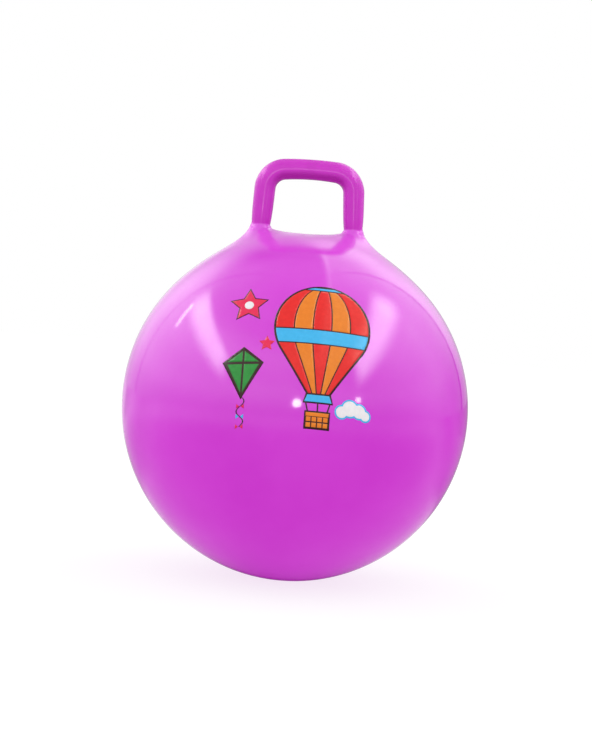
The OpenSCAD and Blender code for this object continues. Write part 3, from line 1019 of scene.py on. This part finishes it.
def floor_paper():
    """Pale paper that shows the object's shadow, and that is lit from behind as far as the eye can tell. The
    gloss mirrors a painted glow in it, with painted shadows.
    """
    material, nodes = new_material("floor_paper")
    rays = nodes.add("ShaderNodeLightPath").outputs
    seen = nodes.times(rays["Is Camera Ray"], GLOW)
    mirrors = nodes.math("MAXIMUM", rays["Is Glossy Ray"], rays["Is Transmission Ray"])
    strength = nodes.math("MAXIMUM", seen, nodes.times(mirrors, painted_floor_glow(nodes)))
    paper = nodes.add("ShaderNodeBsdfDiffuse", Color=(PAPER, PAPER, PAPER, 1))
    glow = nodes.add("ShaderNodeEmission", Color=(1, 1, 1, 1), Strength=strength)
    both = nodes.add("ShaderNodeAddShader")
    nodes.put(paper.outputs[0], both.inputs[0])
    nodes.put(glow.outputs[0], both.inputs[1])
    nodes.finish("ShaderNodeOutputMaterial", both)
    return material


def make_floor():
    corners = [(x * FLOOR_HALF, y * FLOOR_HALF, 0) for x, y in ((-1, -1), (1, -1), (1, 1), (-1, 1))]
    floor = new_mesh("studio_floor", corners, [(0, 1, 2, 3)])
    floor.location.z = -FLOOR_DROP
    dress(floor, floor_paper())
    floor.visible_diffuse = False
    floor.visible_shadow = False


# Studio: it is drawn by the direction (x to the right, y to the back, z up) in which it is seen from the
# ball. A spread there is a soft band in that direction: where it starts and ends, and its values there.

# Brightness by height, from straight down (-1) to straight up (1)
PLAIN_LIGHT = [(-1, 1.0), (-0.1, 1.02), (0.2, 1.08), (0.7, 1.2), (1, 1.4)]
GLOSS_LIGHT = [(-1, 0.8), (-0.35, 0.75), (-0.05, 1.2), (0.25, 2.1), (0.55, 2.9), (0.85, 1.9), (1, 1.4)]
# In the gloss the studio is slightly green, so that highlights don't push the vinyl's red and blue too far
GLOSS_TINT = (0.88, 1.0, 0.88)

# Long soft lamps on the walls at the left (side -1) and the right (1), measured in distances of the wall.
# Middle is a lamp's height beside the ball and slope its rise towards the back. Its low and high edges are
# soft bands round that line. Front is where it starts, softly, and both end softly past the ball.
STRIPS = [
    {"side": -1, "middle": 0.8, "slope": 0.32, "low_edge": (-0.24, -0.02), "high_edge": (0.1, 0.24),
     "front": -0.95},
    {"side": 1, "middle": 1.05, "slope": 0.35, "low_edge": (-0.3, 0.02), "high_edge": (0.15, 0.65),
     "front": -1.25},
]
STRIP_LIGHT = 6.5
STRIP_START = 0.35
STRIP_END = (0.2, 0.8)

# Seam of the ceiling, which runs to the back and is turned a little: its place to the right for each step
# up, and its turn. The upright edges behind the ball stand this far to the right for each step back.
SEAM_AT = 0.22
SEAM_TURN = 0.13
EDGES_AT = (-1.19, 0.73)

# What the parts of the room add to its plain brightness of 1, or take from it
LEFT_LIGHT = 0.22
FRONT_LOSS = 0.28
BACKDROP_LIGHT = 0.42
RIGHT_CEILING = (0.65, 0.25)
SEAM_LIGHT = 0.8
EDGE_LOSS = 0.45
SHADE_LOSS = 0.24


def by_height(nodes, z, stops):
    """Light that changes softly from stop to stop."""
    ramp = nodes.add("ShaderNodeValToRGB")
    ramp.color_ramp.interpolation = "EASE"
    elements = ramp.color_ramp.elements
    while len(elements) < len(stops):
        elements.new(0.5)
    for i, (height, light) in enumerate(stops):
        elements[i].position = (height + 1) / 2
        elements[i].color = (light, light, light, 1)
    nodes.put(nodes.spread(z, -1, 1, kind="LINEAR"), ramp.inputs[0])
    return ramp.outputs[0]


def strip_light(nodes, x, y, z, side, middle, slope, low_edge, high_edge, front):
    """Share of a long soft lamp beside the ball that is seen in each direction."""
    beside = nodes.times(x, side)
    depth = nodes.math("MAXIMUM", beside, 0.02)
    along = nodes.math("DIVIDE", y, depth)
    up = nodes.math("DIVIDE", z, depth)
    off = nodes.math("SUBTRACT", up, nodes.math("ADD", nodes.times(along, slope), middle))
    return nodes.times(nodes.spread(off, *low_edge), nodes.spread(off, *high_edge, 1, 0),
                       nodes.spread(along, front, front + STRIP_START), nodes.spread(beside, 0.05, 0.1),
                       nodes.spread(along, *STRIP_END, 1, 0))


def lost_behind(nodes, x, y, z):
    """Light that the studio lacks behind the ball: most of it in the middle, and more near the floor."""
    near_floor = nodes.times(nodes.spread(x, -0.4, 0.4, 0.35, 0.55), nodes.spread(z, 0, 0.4, 1, 0))
    at_sides = nodes.math("MAXIMUM", nodes.spread(x, -0.6, -0.18, 0.85, 0.1),
                          nodes.spread(x, 0.05, 0.52, 0.1, 0.95))
    kept = nodes.times(nodes.rest(near_floor), at_sides)
    return nodes.times(nodes.spread(y, 0.1, 0.75), nodes.rest(kept))


def ceiling_light(nodes, x, y, z):
    """Brighter right part of the ceiling, and the bright seam that it starts with."""
    height = nodes.math("MAXIMUM", z, 0.05)
    turned = nodes.times(nodes.math("DIVIDE", y, height), SEAM_TURN)
    seam = nodes.math("ADD", nodes.math("DIVIDE", x, height), turned)
    right = nodes.times(nodes.spread(seam, SEAM_AT - 0.01, SEAM_AT + 0.01),
                        nodes.spread(x, 0.15, 0.5, *RIGHT_CEILING))
    off = nodes.math("ABSOLUTE", nodes.math("SUBTRACT", seam, SEAM_AT))
    line = nodes.times(nodes.spread(off, 0.005, 0.03, 1, 0), SEAM_LIGHT)
    return nodes.times(nodes.math("ADD", right, line), nodes.spread(z, 0.45, 0.7))


def lost_at_edges(nodes, x, y, z):
    """Light that the upright edges behind the ball take away, with the shade beyond the right one."""
    across = nodes.math("DIVIDE", x, nodes.math("MAXIMUM", y, 0.02))
    lost = nodes.times(nodes.spread(across, 0.7, 0.76), nodes.spread(across, 1.0, 3.0, SHADE_LOSS, 0),
                       nodes.spread(z, 0, 0.2, 0.2, 1), nodes.spread(z, 0.6, 0.8, 1, 0))
    for edge in EDGES_AT:
        off = nodes.math("ABSOLUTE", nodes.math("SUBTRACT", across, edge))
        dark = nodes.times(nodes.spread(off, 0.01, 0.05, 1, 0), nodes.spread(y, 0.02, 0.1, 0, EDGE_LOSS))
        lost = nodes.math("ADD", lost, dark)
    return lost


def room_level(nodes, x, y, z):
    """Brightness of the room that the gloss mirrors, as a factor on the light of each height."""
    left = nodes.times(nodes.spread(x, -0.7, 0.7, LEFT_LIGHT, 0), nodes.spread(z, 0.6, 0.78, 1, 0))
    front = nodes.times(nodes.spread(y, -0.75, -0.2, FRONT_LOSS, 0), nodes.spread(z, 0.2, 0.45))
    backdrop = nodes.times(nodes.spread(y, 0.86, 0.98, 0, BACKDROP_LIGHT),
                           nodes.spread(x, -0.05, 0.05, 1, 0.45))
    level = nodes.math("ADD", left, 1)
    level = nodes.math("SUBTRACT", level, lost_behind(nodes, x, y, z))
    level = nodes.math("SUBTRACT", level, front)
    level = nodes.math("ADD", level, backdrop)
    level = nodes.math("ADD", level, ceiling_light(nodes, x, y, z))
    return nodes.math("SUBTRACT", level, lost_at_edges(nodes, x, y, z))


def gloss_light(nodes, x, y, z):
    """What the gloss mirrors: the room and the two long lamps."""
    room = nodes.vector("MULTIPLY", by_height(nodes, z, GLOSS_LIGHT), room_level(nodes, x, y, z))
    strips = nodes.math("ADD", *[strip_light(nodes, x, y, z, **strip) for strip in STRIPS])
    light = nodes.vector("ADD", room, nodes.times(strips, STRIP_LIGHT))
    return nodes.vector("MULTIPLY", light, GLOSS_TINT)


def plain_light(nodes, x, y, z):
    """What lights the object: soft light by height, more from both sides, less from straight behind."""
    rims = nodes.times(nodes.spread(nodes.math("ABSOLUTE", x), 0.35, 0.7), nodes.spread(y, 0.1, 0.4))
    change = nodes.math("SUBTRACT", rims, nodes.times(nodes.spread(y, 0.55, 0.9), 0.5))
    return nodes.vector("ADD", by_height(nodes, z, PLAIN_LIGHT), change)


def make_world():
    """A white studio round the object. The camera itself sees plain white."""
    world = bpy.data.worlds.new("studio")
    world.use_nodes = True
    bpy.context.scene.world = world
    nodes = Nodes(world.node_tree)
    x, y, z = nodes.parts(nodes.coordinates("Generated"))
    rays = nodes.add("ShaderNodeLightPath").outputs
    colour = nodes.mix(rays["Is Glossy Ray"], plain_light(nodes, x, y, z), gloss_light(nodes, x, y, z))
    colour = nodes.mix(rays["Is Camera Ray"], colour, (1, 1, 1, 1))
    nodes.finish("ShaderNodeOutputWorld", nodes.add("ShaderNodeBackground", Color=colour))


make_camera()
make_pieces()
make_lamps()
make_floor()
make_world()
bpy.context.scene.view_settings.view_transform = "Standard"
